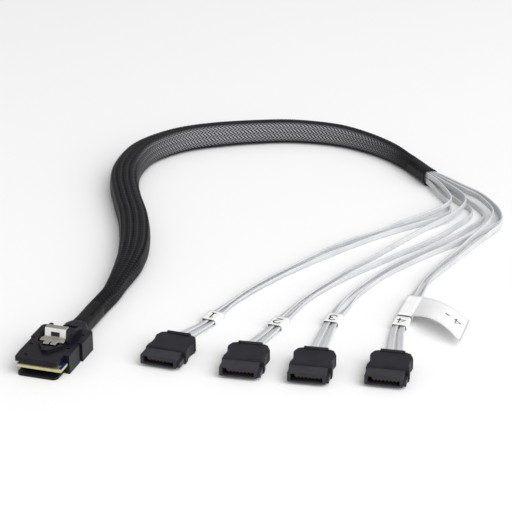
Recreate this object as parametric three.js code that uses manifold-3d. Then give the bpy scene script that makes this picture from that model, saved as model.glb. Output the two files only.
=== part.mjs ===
// Mini SAS breakout cable: one large plug, a braided sleeve and eight flat ribbons to four small plugs.
// Millimetres, +Z up, standing on the table at z = 0. The cable lies in a loop, as it was laid out.
import * as THREE from 'three';
import { mergeVertices } from 'three/addons/utils/BufferGeometryUtils.js';
import Module from 'manifold-3d';

const wasm = await Module();
wasm.setup();

// Layout on the table. Places are given from the middle of the laid-out loop.
// The part's origin lies under the middle of the row of plugs.
const originX = -14.27;
const originY = -90.01;

// Clearance between two pieces that touch, and under everything that lies on the table
const fitGap = 0.3;
const tableGap = 0.15;

// How far solids that are joined reach into each other
const joinDepth = 1;

// Ribbons: flat cables, two for each small plug
const ribbonWidth = 2.4;
const ribbonThickness = 0.85;
const ribbonCorner = 0.25;
const ribbonStackGap = 0.25;

// Braided sleeve and heat-shrink
const sleeveWall = 0.3;
const sleeveEndCorner = 1.15;
const sleeveRoundness = 0.36;
const shrinkWall = 0.3;
const shrinkGap = 0.25;
const sleeveEndWidth = 5.4;
const sleeveEndHeight = 6.3;
const bootShrinkLength = 16;
const breakoutShrinkLength = 16;
const breakoutShrinkOverhang = 1.5;

// Large plug, seen from its mating face: X across, Y towards the cable
const plugX = -74.9;
const plugY = -103.6;
const plugYaw = THREE.MathUtils.degToRad(17.5);
const plugHeight = 7;
const lipWidth = 15.8;
const lipThickness = 1.5;
const lipLength = 6.1;
const lipChamfer = 0.5;
const lipOffset = -0.8;
const blockWidth = 18.2;
const blockLength = 9.3;
const wingWidth = 19.5;
const wingLength = 10.6;
const wingChamfer = 1;
const sideSlotWidth = 0.8;
const sideSlotDepth = 1.1;
const tongueWidth = 15;
const tongueOffset = -0.8;
const tongueBodyWidth = 14.7;
const tongueEndWall = 3;
const tongueThickness = 1;
const tongueCorner = 1.6;
const tongueBodyHeight = 2.4;
const cardWidth = 16.6;
const cardThickness = 1;
const cardBottom = 3.1;
const cardSetBack = 0.5;
const cardLength = 17;
const padCount = 18;
const padPitch = 0.8;
const padWidth = 0.5;
const padLength = 2.6;
const padSetBack = 0.6;
const padRelief = 0.08;
const topRecesses = [[-7.2, 10.9], [-5.7, 3], [6.4, 11.3], [7.4, 22.5]];
const recessWidth = 1.3;
const recessLength = 0.9;
const recessDepth = 0.6;
const pedestalHeight = 1;
const pedestalWidth = 9.6;
const pedestalFront = 6;
const pedestalTipWidth = 1.8;
const pedestalShoulder = 11.4;
const railThickness = 1.2;
const railHeight = 2.3;
const railFront = 14;
const railBack = 25;
const railSlopeLength = 4;
const railEndHeight = 1.85;

// Latch: one bent steel plate on the pedestal
const latchThickness = 0.4;
const latchWidth = 7.8;
const latchWingWidth = 8.8;
const latchWingFront = 12.2;
const latchWingLength = 1.5;
const latchFootLength = 0.6;
const latchTabFoot = 15.6;
const latchTabHeight = 3.4;
const latchTabLean = 0.7;
const latchTopLength = 2.1;
const latchWindowWidth = 3.4;
const latchWindowHeight = 1.7;
const latchWindowSill = 0.35;
const toothWidth = 1.9;
const toothLength = 2.2;
const toothSpacing = 2.7;
const latchTravel = 0.9;
const toothClearance = 0.5;
const rockerTroughDepth = 0.55;

// Collar behind the large plug
const cableOffset = 1.6;
const collarWidth = 8.8;
const collarHeight = 7.6;
const collarLength = 5.7;
const collarNeckLength = 5;
const collarCorner = 2;
const collarBackCorner = 2.4;
const collarShoulder = 3.1;
const collarBackWidth = 7;
const collarBackHeight = 7;

// Small plugs: nose, slot, side rail, grip
const smallPlugPlaces = [
  [-34, -96.8, 18.94],
  [-6.2, -105.1, 11.7],
  [17.1, -109.3, 10.78],
  [43.3, -111.4, 12.19],
];
const noseWidth = 13.3;
const noseHeight = 3.6;
const noseBottom = 1.2;
const noseLength = 5.7;
const noseCorner = 0.3;
const noseTailWidth = 11.6;
const noseTailHeight = 2.4;
const noseTailLength = 3.4;
const slotSideWall = 1.1;
const slotBottomWall = 0.5;
const slotHeight = 1.8;
const slotDepth = 5.3;
const slotKeyWidth = 1.55;
const slotKeyHeight = 0.8;
const sideRailWidth = 1;
const sideRailHeight = 1.9;
const sideRailFront = 1;
const gripWidth = 15.1;
const gripHeight = 5.3;
const gripLength = 13.8;
const gripOffset = 0.5;
const gripCollarLength = 1.9;
const gripWaist = 0.55;
const gripCorner = 3;
const gripCollarSlope = 1.2;
const gripWaistLength = 5.8;
const gripWaistEnd = 8.5;
const gripRound = 0.8;
const gripBeadWidth = 8.6;
const gripBeadLength = 1.5;
const gripBeadHeight = 0.35;
const gripBeadSlope = 0.4;
const gripBeadRoot = 1.4;
const gripGrooveLength = 0.7;
const gripGrooveDepth = 0.6;
const sideGrooveDepth = 0.35;
const sideGrooveWidth = 0.8;
const sideGrooveSetBack = 0.5;
const sideGrooveBottom = 0.9;
const sideGrooveTop = 0.6;
const contactCount = 7;
const contactPitch = 1.27;
const contactWidth = 0.6;
const contactThickness = 0.25;
const contactLength = 4.6;
const contactBow = 0.3;
const contactBowLength = 1.5;
const contactRowOffset = 0.48;
const pocketSpacing = 3.5;
const pocketDepth = 3;
const pocketHeight = 2.5;
const pocketLead = 4;
const pocketDrop = 0.6;

// Marker bands round each pair, and the paper label round the fourth pair
const bandLength = 7;
const bandStraight = 0.7;
const bandWall = 0.25;
const bandPairSpacing = 2.75;
const bandClearance = 0.2;
const bandCorner = 0.8;
const bandRoll = 20;
const bandPlaces = [
  [-16, -59.2, 246],
  [8.1, -63.8, 246],
  [28.2, -61, 252],
  [52.9, -63.7, 252],
];
const labelPair = 3;
const labelWrapLength = 17.5;
const labelGap = 1;
const labelThickness = 0.3;
const labelCorner = 0.1;
const labelEnds = [[77.7, -64.2], [72.5, -80.9]];
const labelEndHeight = 2.6;
const labelRises = [0, 0.45, 0.65, 0.5, 0];

// Materials
function material(color, roughness, metalness = 0) {
  return new THREE.MeshStandardMaterial({ color, roughness, metalness });
}

const plugPlastic = material(0x2b2b2f, 0.5);
const gripPlastic = material(0x303136, 0.62);
const nosePlastic = material(0x404046, 0.42);
const braidBlack = material(0x17171a, 0.55);
const shrinkBlack = material(0x1b1b1d, 0.4);
const ribbonWhite = material(0xe6e7ea, 0.38);
const bandWhite = material(0xeeeeec, 0.55);
const paperWhite = material(0xf4f4f2, 0.85);
const latchSteel = material(0xd9d8d4, 0.28, 1);
const cardCream = material(0xd6d3a2, 0.45);
const contactGold = material(0xc9a45a, 0.3, 1);

// Solids: joins and cuts
function solidOf(geometry) {
  const bare = geometry.clone();
  bare.deleteAttribute('normal');
  bare.deleteAttribute('uv');
  const merged = mergeVertices(bare, 1e-4);
  return new wasm.Manifold(new wasm.Mesh({
    numProp: 3,
    vertProperties: new Float32Array(merged.attributes.position.array),
    triVerts: new Uint32Array(merged.index.array),
  }));
}

function geometryOf(solid) {
  const mesh = solid.getMesh();
  const geometry = new THREE.BufferGeometry();
  geometry.setAttribute('position', new THREE.BufferAttribute(new Float32Array(mesh.vertProperties), 3));
  geometry.setIndex(new THREE.BufferAttribute(new Uint32Array(mesh.triVerts), 1));
  geometry.computeVertexNormals();
  return geometry;
}

function join(first, ...others) {
  return geometryOf(others.reduce((sum, other) => sum.add(solidOf(other)), solidOf(first)));
}

function cut(body, ...tools) {
  return geometryOf(tools.reduce((rest, tool) => rest.subtract(solidOf(tool)), solidOf(body)));
}

// A box given by its limits on the three axes
function block(x0, x1, y0, y1, z0, z1) {
  const geometry = new THREE.BoxGeometry(x1 - x0, y1 - y0, z1 - z0);
  geometry.translate((x0 + x1) / 2, (y0 + y1) / 2, (z0 + z1) / 2);
  return geometry;
}

function outline(points) {
  return new THREE.Shape(points.map(([x, y]) => new THREE.Vector2(x, y)));
}

// A rectangle with rounded corners about the origin; three points on each corner
function roundedRectangle(width, height, corner) {
  const points = [];
  const cornerCentres = [[1, 1, 0], [-1, 1, 90], [-1, -1, 180], [1, -1, 270]];
  for (const [sx, sy, start] of cornerCentres) {
    for (const step of [0, 45, 90]) {
      const angle = THREE.MathUtils.degToRad(start + step);
      const x = sx * (width / 2 - corner) + corner * Math.cos(angle);
      const y = sy * (height / 2 - corner) + corner * Math.sin(angle);
      points.push([x, y]);
    }
  }
  return points;
}

// An outline in plan (X, Y), raised from z0 to z1
function raise(points, z0, z1) {
  const geometry = new THREE.ExtrudeGeometry(outline(points), { depth: z1 - z0, bevelEnabled: false });
  geometry.translate(0, 0, z0);
  return geometry;
}

// An outline seen from the front (X, Z), extruded backwards from y0 to y1
function extrudeBack(points, y0, y1) {
  const mirrored = points.map(([x, z]) => [x, -z]);
  const geometry = new THREE.ExtrudeGeometry(outline(mirrored), { depth: y1 - y0, bevelEnabled: false });
  geometry.rotateX(-Math.PI / 2);
  geometry.translate(0, y0, 0);
  return geometry;
}

// An outline seen from the side (Y, Z), extruded across from x0 to x1
function extrudeAcross(points, x0, x1) {
  const geometry = new THREE.ExtrudeGeometry(outline(points), { depth: x1 - x0, bevelEnabled: false });
  geometry.applyMatrix4(new THREE.Matrix4().set(0, 0, 1, x0, 1, 0, 0, 0, 0, 1, 0, 0, 0, 0, 0, 1));
  return geometry;
}

// Routes: a station holds a place, the roll of the section about the route, and its size there.
// Roll 0 lays the section flat on the table; roll 90 stands it on edge.
function ringsAlong(stations, subdivisions) {
  const spine = new THREE.CatmullRomCurve3(stations.map((s) => s.point), false, 'centripetal');
  const rings = [];
  const last = stations.length - 1;
  for (let i = 0; i <= last * subdivisions; i += 1) {
    const place = i / subdivisions;
    const from = Math.min(Math.floor(place), last - 1);
    const share = place - from;
    const mix = (key) => THREE.MathUtils.lerp(stations[from][key], stations[from + 1][key], share);
    rings.push({
      point: spine.getPoint(place / last),
      tangent: spine.getTangent(place / last),
      roll: mix('roll'),
      width: mix('width'),
      height: mix('height'),
      corner: mix('corner'),
    });
  }
  return rings;
}

// The section's own axes at a ring: level to the left of travel, and up, both turned by the roll
function sectionAxes(ring) {
  const left = new THREE.Vector3(-ring.tangent.y, ring.tangent.x, 0).normalize();
  const up = new THREE.Vector3().crossVectors(ring.tangent, left).normalize();
  const roll = THREE.MathUtils.degToRad(ring.roll);
  return {
    wide: left.clone().multiplyScalar(Math.cos(roll)).addScaledVector(up, Math.sin(roll)),
    thick: up.clone().multiplyScalar(Math.cos(roll)).addScaledVector(left, -Math.sin(roll)),
  };
}

// A path that an extrusion follows ring by ring; its frames carry the section's size as their length
class RingPath extends THREE.Curve {
  constructor(rings) {
    super();
    this.rings = rings;
  }

  getSpacedPoints() {
    return this.rings.map((ring) => ring.point.clone());
  }

  computeFrenetFrames() {
    const axes = this.rings.map((ring) => sectionAxes(ring));
    return {
      tangents: this.rings.map((ring) => ring.tangent.clone()),
      normals: this.rings.map((ring, i) => axes[i].wide.multiplyScalar(ring.width)),
      binormals: this.rings.map((ring, i) => axes[i].thick.multiplyScalar(ring.height)),
    };
  }
}

// Sweeps a unit section, one wide and one high, along the rings
function sweep(section, rings) {
  return new THREE.ExtrudeGeometry(section, {
    steps: rings.length - 1,
    bevelEnabled: false,
    extrudePath: new RingPath(rings),
  });
}

// One closed loop of points round a ring: its rounded rectangle, drawn in by a wall
function loopOf(ring, inset) {
  const { wide, thick } = ring.axes ?? sectionAxes(ring);
  const corner = Math.max(ring.corner - inset, ring.corner * 0.5);
  const section = roundedRectangle(ring.width - 2 * inset, ring.height - 2 * inset, corner);
  return section.map(([x, y]) => ring.point.clone().addScaledVector(wide, x).addScaledVector(thick, y));
}

// Lofts rings whose rounded section changes; a wall makes it a tube with open ends
function loft(rings, wall = 0) {
  const outer = rings.map((ring) => loopOf(ring, 0));
  const inner = wall > 0 ? rings.map((ring) => loopOf(ring, wall)) : [];
  const loops = [...outer, ...inner.reverse()];
  const sides = loops[0].length;
  const points = loops.flat();
  const faces = [];
  const skin = (from, to) => {
    for (let i = 0; i < sides; i += 1) {
      const next = (i + 1) % sides;
      const a = from * sides + i;
      const b = from * sides + next;
      const c = to * sides + next;
      const d = to * sides + i;
      faces.push(a, b, c, a, c, d);
    }
  };
  for (let i = 0; i + 1 < loops.length; i += 1) skin(i, i + 1);
  if (wall > 0) skin(loops.length - 1, 0);
  for (let i = 1; wall === 0 && i + 1 < sides; i += 1) {
    const last = (loops.length - 1) * sides;
    faces.push(0, i + 1, i, last, last + i, last + i + 1);
  }
  const geometry = new THREE.BufferGeometry().setFromPoints(points);
  geometry.setIndex(faces);
  geometry.computeVertexNormals();
  return geometry;
}

// The ribbons' section, with bevelled corners
function ribbonSection() {
  const bx = ribbonCorner / ribbonWidth;
  const by = ribbonCorner / ribbonThickness;
  const quarter = [[0.5, 0.5 - by], [0.5 - bx, 0.5]];
  const mirror = (sx, sy, list) => list.map(([x, y]) => [sx * x, sy * y]);
  return outline([
    ...quarter,
    ...mirror(-1, 1, quarter).reverse(),
    ...mirror(-1, -1, quarter),
    ...mirror(1, -1, quarter).reverse(),
  ]);
}

const vector = (x, y, z) => new THREE.Vector3(x - originX, y - originY, z);

const cable = new THREE.Group();

function addPiece(name, geometry, look, parent = cable) {
  const mesh = new THREE.Mesh(geometry, look);
  mesh.name = name;
  parent.add(mesh);
  return mesh;
}

// Large plug
const plug = new THREE.Group();
plug.position.copy(vector(plugX, plugY, 0));
plug.rotation.z = -plugYaw;
cable.add(plug);

const blockFront = lipLength;
const wingFront = blockFront + blockLength;
const plugBack = wingFront + sideSlotWidth + wingLength;
const pedestalTop = plugHeight + pedestalHeight;
const latchBottom = pedestalTop + fitGap;
const latchHinge = latchTabFoot;

function plugHousing() {
  const lipHalf = lipWidth / 2;
  const blockHalf = blockWidth / 2;
  const wingHalf = wingWidth / 2;
  const slotFloor = blockHalf - sideSlotDepth;
  const body = raise([
    [-blockHalf, blockFront],
    [blockHalf, blockFront],
    [blockHalf, wingFront],
    [slotFloor, wingFront],
    [slotFloor, wingFront + sideSlotWidth],
    [wingHalf, wingFront + sideSlotWidth],
    [wingHalf, plugBack - wingChamfer],
    [wingHalf - wingChamfer, plugBack],
    [-wingHalf + wingChamfer, plugBack],
    [-wingHalf, plugBack - wingChamfer],
    [-wingHalf, wingFront + sideSlotWidth],
    [-slotFloor, wingFront + sideSlotWidth],
    [-slotFloor, wingFront],
    [-blockHalf, wingFront],
  ], 0, plugHeight);
  const lip = raise([
    [lipOffset - lipHalf + lipChamfer, 0],
    [lipOffset + lipHalf, 0],
    [lipOffset + lipHalf, blockFront + joinDepth],
    [-blockHalf, blockFront + joinDepth],
    [-blockHalf, blockFront - joinDepth],
    [lipOffset - lipHalf, lipChamfer],
  ], plugHeight - lipThickness, plugHeight);
  const pedestalHalf = pedestalWidth / 2;
  const pedestal = raise([
    [-pedestalHalf, railBack],
    [-pedestalHalf, pedestalShoulder],
    [-pedestalTipWidth / 2, pedestalFront],
    [pedestalTipWidth / 2, pedestalFront],
    [pedestalHalf, pedestalShoulder],
    [pedestalHalf, railBack],
  ], plugHeight - joinDepth, pedestalTop);
  const railSide = [
    [railFront, plugHeight - joinDepth],
    [railBack, plugHeight - joinDepth],
    [railBack, plugHeight + railEndHeight],
    [railBack - railSlopeLength, plugHeight + railHeight],
    [railFront + railSlopeLength, plugHeight + railHeight],
    [railFront, plugHeight + pedestalHeight],
  ];
  const railRight = extrudeAcross(railSide, pedestalHalf, pedestalHalf + railThickness);
  const railLeft = extrudeAcross(railSide, -pedestalHalf - railThickness, -pedestalHalf);
  const tongueHalf = tongueBodyWidth / 2 + fitGap;
  const tonguePocket = block(
    -tongueHalf, tongueHalf, blockFront - joinDepth, plugBack - tongueEndWall,
    -joinDepth, tongueBodyHeight + fitGap);
  const cardHalf = cardWidth / 2 + fitGap;
  const cardPocket = block(
    -cardHalf, cardHalf, -joinDepth, cardSetBack + cardLength + fitGap,
    cardBottom - fitGap, cardBottom + cardThickness + fitGap);
  const toothHalf = toothSpacing / 2 + toothWidth / 2 + toothClearance;
  const toothPocket = block(
    -toothHalf, toothHalf, latchWingFront - toothLength - toothClearance, latchHinge - latchFootLength,
    pedestalTop - latchTravel, pedestalTop + joinDepth);
  const rockerTrough = block(
    -pedestalHalf, pedestalHalf, latchWingFront - toothClearance, latchHinge - latchFootLength,
    pedestalTop - rockerTroughDepth, pedestalTop + joinDepth);
  const solid = join(body, lip, pedestal, railRight, railLeft);
  const recesses = topRecesses.map(([x, y]) => block(
    x - recessWidth / 2, x + recessWidth / 2, y - recessLength / 2, y + recessLength / 2,
    plugHeight - recessDepth, plugHeight + joinDepth));
  return cut(solid, tonguePocket, cardPocket, toothPocket, rockerTrough, ...recesses);
}

function plugTongue() {
  const left = tongueOffset - tongueWidth / 2;
  const right = tongueOffset + tongueWidth / 2;
  const back = blockFront - fitGap;
  const tongue = raise([
    [left, back],
    [left, tongueCorner],
    [left + tongueCorner * 0.3, tongueCorner * 0.3],
    [left + tongueCorner, 0],
    [right - tongueCorner, 0],
    [right - tongueCorner * 0.3, tongueCorner * 0.3],
    [right, tongueCorner],
    [right, back],
  ], 0, tongueThickness);
  const half = tongueBodyWidth / 2;
  const bodyFront = blockFront + fitGap;
  const root = block(-half, right, back - joinDepth, bodyFront + joinDepth, 0, tongueThickness);
  const body = block(-half, half, bodyFront, plugBack - tongueEndWall - fitGap, 0, tongueBodyHeight);
  return join(tongue, root, body);
}

function paddleCard() {
  const half = cardWidth / 2;
  const card = block(-half, half, cardSetBack, cardSetBack + cardLength,
    cardBottom, cardBottom + cardThickness);
  const padFront = cardSetBack + padSetBack;
  const pads = [];
  for (let i = 0; i < padCount; i += 1) {
    const x = (i - (padCount - 1) / 2) * padPitch;
    pads.push(block(x - padWidth / 2, x + padWidth / 2, padFront, padFront + padLength,
      cardBottom - padRelief, cardBottom + cardThickness + padRelief));
  }
  return join(card, ...pads);
}

function latchPlate() {
  const z0 = latchBottom;
  const z1 = latchBottom + latchThickness;
  const tabTopY = latchTabFoot + latchTabLean;
  const tabTopZ = z0 + latchTabHeight;
  const base = raise([
    [-latchWingWidth / 2, latchWingFront],
    [latchWingWidth / 2, latchWingFront],
    [latchWingWidth / 2, latchWingFront + latchWingLength],
    [latchWidth / 2, latchTabFoot - latchFootLength],
    [latchWidth / 2, latchTabFoot],
    [-latchWidth / 2, latchTabFoot],
    [-latchWidth / 2, latchTabFoot - latchFootLength],
    [-latchWingWidth / 2, latchWingFront + latchWingLength],
  ], z0, z1);
  const teeth = [-1, 1].map((side) => block(
    side * toothSpacing / 2 - toothWidth / 2, side * toothSpacing / 2 + toothWidth / 2,
    latchWingFront - toothLength, latchWingFront + latchWingLength / 2, z0, z1));
  const tab = extrudeAcross([
    [latchTabFoot - latchThickness, z0],
    [latchTabFoot, z0],
    [tabTopY, tabTopZ - latchThickness],
    [tabTopY + latchTopLength, tabTopZ - latchThickness],
    [tabTopY + latchTopLength, tabTopZ],
    [tabTopY - latchThickness, tabTopZ],
  ], -latchWidth / 2, latchWidth / 2);
  const sill = z0 + latchWindowSill;
  const window = block(-latchWindowWidth / 2, latchWindowWidth / 2,
    latchTabFoot - joinDepth, tabTopY + joinDepth, sill, sill + latchWindowHeight);
  return cut(join(base, tab, ...teeth), window);
}

addPiece('plug_housing', plugHousing(), plugPlastic, plug);
addPiece('plug_tongue', plugTongue(), plugPlastic, plug);
addPiece('paddle_card', paddleCard(), cardCream, plug);
addPiece('latch_plate', latchPlate(), latchSteel, plug);

function plugPoint(across, back, z) {
  plug.updateMatrixWorld(true);
  return new THREE.Vector3(across, back, z).applyMatrix4(plug.matrixWorld);
}

// The bundle: the sleeve's stations, from the large plug round to the breakout.
// Each holds its place, the sleeve's width and height there, and the spread of the ribbons inside.
const shrinkWidth = sleeveEndWidth + 2 * (shrinkGap + shrinkWall);
const shrinkHeight = sleeveEndHeight + 2 * (shrinkGap + shrinkWall);
const bundleEndZ = shrinkHeight / 2 + tableGap;
const closeSpread = ribbonThickness + ribbonStackGap;
const collarBack = plugBack + fitGap + collarLength;
const neckBack = collarBack + collarNeckLength;

function bundleStation(x, y, width, height, spread) {
  const corner = Math.min(width, height) * sleeveRoundness;
  return { point: vector(x, y, height / 2 + tableGap), roll: 0, width, height, corner, spread };
}

// Where the heat-shrink holds the bundle, it is drawn tight and lifted by the shrink's own wall
function tightStation(point) {
  point.setZ(bundleEndZ);
  return {
    point,
    roll: 0,
    width: sleeveEndWidth,
    height: sleeveEndHeight,
    corner: sleeveEndCorner,
    spread: closeSpread,
  };
}

function collarStation(back) {
  return tightStation(plugPoint(cableOffset, back, bundleEndZ));
}

const sleeveStations = [
  collarStation(neckBack + fitGap),
  tightStation(vector(-58.9, -57.9, 0)),
  tightStation(vector(-56.5, -50.6, 0)),
  bundleStation(-54.4, -43.6, 6.5, 7.1, 1.2),
  bundleStation(-52.2, -33.4, 7.7, 7.7, 1.5),
  bundleStation(-49.5, -19.4, 10.6, 8.5, 2.2),
  bundleStation(-48.4, -5.7, 12, 8.8, 2.7),
  bundleStation(-48.8, 10.5, 12.5, 8.8, 2.8),
  bundleStation(-50.5, 27.2, 12.5, 8.8, 2.8),
  bundleStation(-54.2, 47.3, 12.1, 9, 2.7),
  bundleStation(-56.7, 65.5, 12.5, 9.2, 2.7),
  bundleStation(-56.4, 81.8, 12.6, 9.6, 2.5),
  bundleStation(-51.4, 100.6, 12.3, 10, 2.3),
  bundleStation(-44.5, 110.5, 11.7, 10.3, 2.2),
  bundleStation(-32.8, 120.2, 11.2, 10.5, 2.1),
  bundleStation(-19.1, 125.7, 10.8, 10.6, 2),
  bundleStation(-0.9, 130, 10.4, 10.3, 2),
  bundleStation(17.4, 131.5, 10.3, 10, 2),
  bundleStation(37.4, 127, 9.8, 9.4, 1.9),
  bundleStation(50, 119.1, 8.8, 8.5, 1.6),
  bundleStation(60.9, 107.4, 7.6, 7.7, 1.4),
  bundleStation(66.9, 97.2, 6.5, 7, 1.2),
  tightStation(vector(70.6, 88.9, 0)),
  tightStation(vector(75.6, 76.9, 0)),
];
const bundleStations = [collarStation(plugBack + fitGap), ...sleeveStations];

addPiece('braided_sleeve', loft(ringsAlong(sleeveStations, 2), sleeveWall), braidBlack);

// Heat-shrink: a stretch of the bundle's line, given by its two ends
function shrinkTube(from, to) {
  const stations = [0, 0.5, 1].map((share) => ({
    point: from.clone().lerp(to, share),
    roll: 0,
    width: shrinkWidth,
    height: shrinkHeight,
    corner: sleeveEndCorner + shrinkGap + shrinkWall,
  }));
  return loft(ringsAlong(stations, 1), shrinkWall);
}

const bootStart = collarStation(collarBack + fitGap).point;
const bootWay = sleeveStations[1].point.clone().sub(bootStart).normalize();
addPiece('boot_shrink', shrinkTube(bootStart, bootStart.clone().addScaledVector(bootWay, bootShrinkLength)),
  shrinkBlack);

const breakoutEnd = sleeveStations[sleeveStations.length - 1].point;
const breakoutWay = sleeveStations[sleeveStations.length - 2].point.clone().sub(breakoutEnd).normalize();
addPiece('breakout_shrink', shrinkTube(
  breakoutEnd.clone().addScaledVector(breakoutWay, breakoutShrinkLength - breakoutShrinkOverhang),
  breakoutEnd.clone().addScaledVector(breakoutWay, -breakoutShrinkOverhang),
), shrinkBlack);

// Collar: a rounded block behind the housing, with a neck that the heat-shrink grips
function strainRelief() {
  const section = (back, width, height, corner, z) => {
    const point = collarStation(plugBack + fitGap + back).point.setZ(z);
    return { point, roll: 0, width, height, corner };
  };
  const middle = collarHeight / 2 + tableGap;
  const outside = ringsAlong([
    section(0, collarWidth, collarHeight, collarCorner, middle),
    section(collarShoulder, collarWidth, collarHeight, collarBackCorner, middle),
    section(collarLength, collarBackWidth, collarBackHeight, collarBackCorner, middle),
  ], 1);
  const cord = (from, to) => ringsAlong([
    section(from, sleeveEndWidth, sleeveEndHeight, sleeveEndCorner, bundleEndZ),
    section(to, sleeveEndWidth, sleeveEndHeight, sleeveEndCorner, bundleEndZ),
  ], 1);
  const neck = cord(collarShoulder, collarLength + collarNeckLength);
  const bore = cord(-joinDepth, collarLength + collarNeckLength + joinDepth);
  bore.forEach((ring) => {
    ring.width -= 2 * sleeveWall;
    ring.height -= 2 * sleeveWall;
    ring.corner -= sleeveWall;
  });
  return cut(join(loft(outside), loft(neck)), loft(bore));
}

addPiece('strain_relief', strainRelief(), gripPlastic);

// Small plugs
const gripBack = noseLength + gripLength;
const slotWidth = noseWidth - 2 * slotSideWall;
const slotFloor = noseBottom + slotBottomWall;
const slotCeiling = slotFloor + slotHeight;

function smallPlugNose() {
  const half = noseWidth / 2;
  const middle = noseBottom + noseHeight / 2;
  const front = roundedRectangle(noseWidth, noseHeight, noseCorner).map(([x, z]) => [x, z + middle]);
  const nose = extrudeBack(front, 0, noseLength);
  const tail = block(-noseTailWidth / 2, noseTailWidth / 2, slotDepth, noseLength + noseTailLength,
    middle - noseTailHeight / 2, middle + noseTailHeight / 2);
  const rail = block(half - slotSideWall / 2, half + sideRailWidth, sideRailFront, noseLength,
    noseBottom, noseBottom + sideRailHeight);
  const slotHalf = slotWidth / 2;
  const slot = extrudeBack([
    [-slotHalf, slotFloor],
    [slotHalf, slotFloor],
    [slotHalf, slotCeiling],
    [-slotHalf + slotKeyWidth, slotCeiling],
    [-slotHalf + slotKeyWidth, slotCeiling + slotKeyHeight],
    [-slotHalf, slotCeiling + slotKeyHeight],
  ], -joinDepth, slotDepth);
  return cut(join(nose, tail, rail), slot);
}

function smallPlugGrip() {
  const half = gripWidth / 2;
  const inset = half - gripRound;
  const waist = inset - gripWaist;
  const front = noseLength + fitGap + gripRound;
  const back = gripBack - gripRound;
  const corner = gripCorner;
  const plan = [
    [-inset, front],
    [inset, front],
    [inset, front + gripCollarLength - gripRound],
    [waist, front + gripCollarLength + gripCollarSlope],
    [waist, front + gripWaistLength],
    [inset, front + gripWaistEnd],
    [inset, back - corner],
    [inset - corner * 0.3, back - corner * 0.3],
    [inset - corner, back],
    [-inset + corner, back],
    [-inset + corner * 0.3, back - corner * 0.3],
    [-inset, back - corner],
    [-inset, front + gripWaistEnd],
    [-waist, front + gripWaistLength],
    [-waist, front + gripCollarLength + gripCollarSlope],
    [-inset, front + gripCollarLength - gripRound],
  ];
  const body = new THREE.ExtrudeGeometry(outline(plan), {
    depth: gripHeight - 2 * gripRound,
    bevelEnabled: true,
    bevelThickness: gripRound,
    bevelSize: gripRound,
    bevelSegments: 2,
  });
  body.translate(0, 0, gripRound);
  const beadFront = gripBack - gripBeadLength;
  const beadFoot = gripHeight - gripBeadRoot;
  const beadShoulder = gripHeight + gripBeadHeight - gripBeadSlope;
  const beadSide = [
    [beadFront, beadFoot],
    [gripBack, beadFoot],
    [gripBack, beadShoulder],
    [gripBack - gripBeadSlope, gripHeight + gripBeadHeight],
    [beadFront + gripBeadSlope, gripHeight + gripBeadHeight],
    [beadFront, beadShoulder],
  ];
  const bead = extrudeAcross(beadSide, -gripBeadWidth / 2, gripBeadWidth / 2);
  const groove = block(-gripBeadWidth / 2, gripBeadWidth / 2, beadFront - gripGrooveLength, beadFront,
    gripHeight - gripGrooveDepth, gripHeight + joinDepth);
  const sideGrooveBack = back - corner - sideGrooveSetBack;
  const sideGrooves = [-1, 1].map((side) => block(
    side * half - sideGrooveDepth, side * half + sideGrooveDepth,
    sideGrooveBack - sideGrooveWidth, sideGrooveBack, sideGrooveBottom, gripHeight - sideGrooveTop));
  const middle = noseBottom + noseHeight / 2;
  const tailHalf = noseTailWidth / 2 + fitGap;
  const nosePocket = block(-tailHalf - gripOffset, tailHalf - gripOffset,
    0, noseLength + noseTailLength + fitGap,
    middle - noseTailHeight / 2 - fitGap, middle + noseTailHeight / 2 + fitGap);
  const pockets = [-1, 1].map((side) => {
    const x = side * pocketSpacing / 2;
    const halfWide = ribbonWidth / 2 + fitGap;
    const halfHigh = ribbonThickness / 2 + fitGap;
    return block(x - halfWide, x + halfWide, gripBack - pocketDepth, gripBack + joinDepth,
      pocketHeight - halfHigh, pocketHeight + halfHigh);
  });
  const grip = cut(join(body, bead), groove, nosePocket, ...sideGrooves, ...pockets);
  grip.translate(gripOffset, 0, 0);
  return grip;
}

// A spring contact: a thin strip under the slot's ceiling, bowed down in the middle
function springContact(x) {
  const top = slotCeiling - fitGap;
  const back = slotDepth - fitGap;
  const front = back - contactLength;
  const middle = (front + back) / 2;
  const side = [
    [front, top - contactThickness],
    [middle - contactBowLength / 2, top - contactThickness - contactBow],
    [middle + contactBowLength / 2, top - contactThickness - contactBow],
    [back, top - contactThickness],
    [back, top],
    [middle + contactBowLength / 2, top - contactBow],
    [middle - contactBowLength / 2, top - contactBow],
    [front, top],
  ];
  return extrudeAcross(side, x - contactWidth / 2, x + contactWidth / 2);
}

const smallPlugs = smallPlugPlaces.map(([x, y, yaw], index) => {
  const group = new THREE.Group();
  group.position.copy(vector(x, y, 0));
  group.rotation.z = -THREE.MathUtils.degToRad(yaw);
  cable.add(group);
  const label = index + 1;
  addPiece(`sata_housing_${label}`, smallPlugNose(), nosePlastic, group);
  addPiece(`sata_overmould_${label}`, smallPlugGrip(), gripPlastic, group);
  for (let i = 0; i < contactCount; i += 1) {
    const place = (i - (contactCount - 1) / 2) * contactPitch + contactRowOffset;
    addPiece(`sata_contact_${label}_${i + 1}`, springContact(place), contactGold, group);
  }
  group.updateMatrixWorld(true);
  return group;
});

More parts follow.
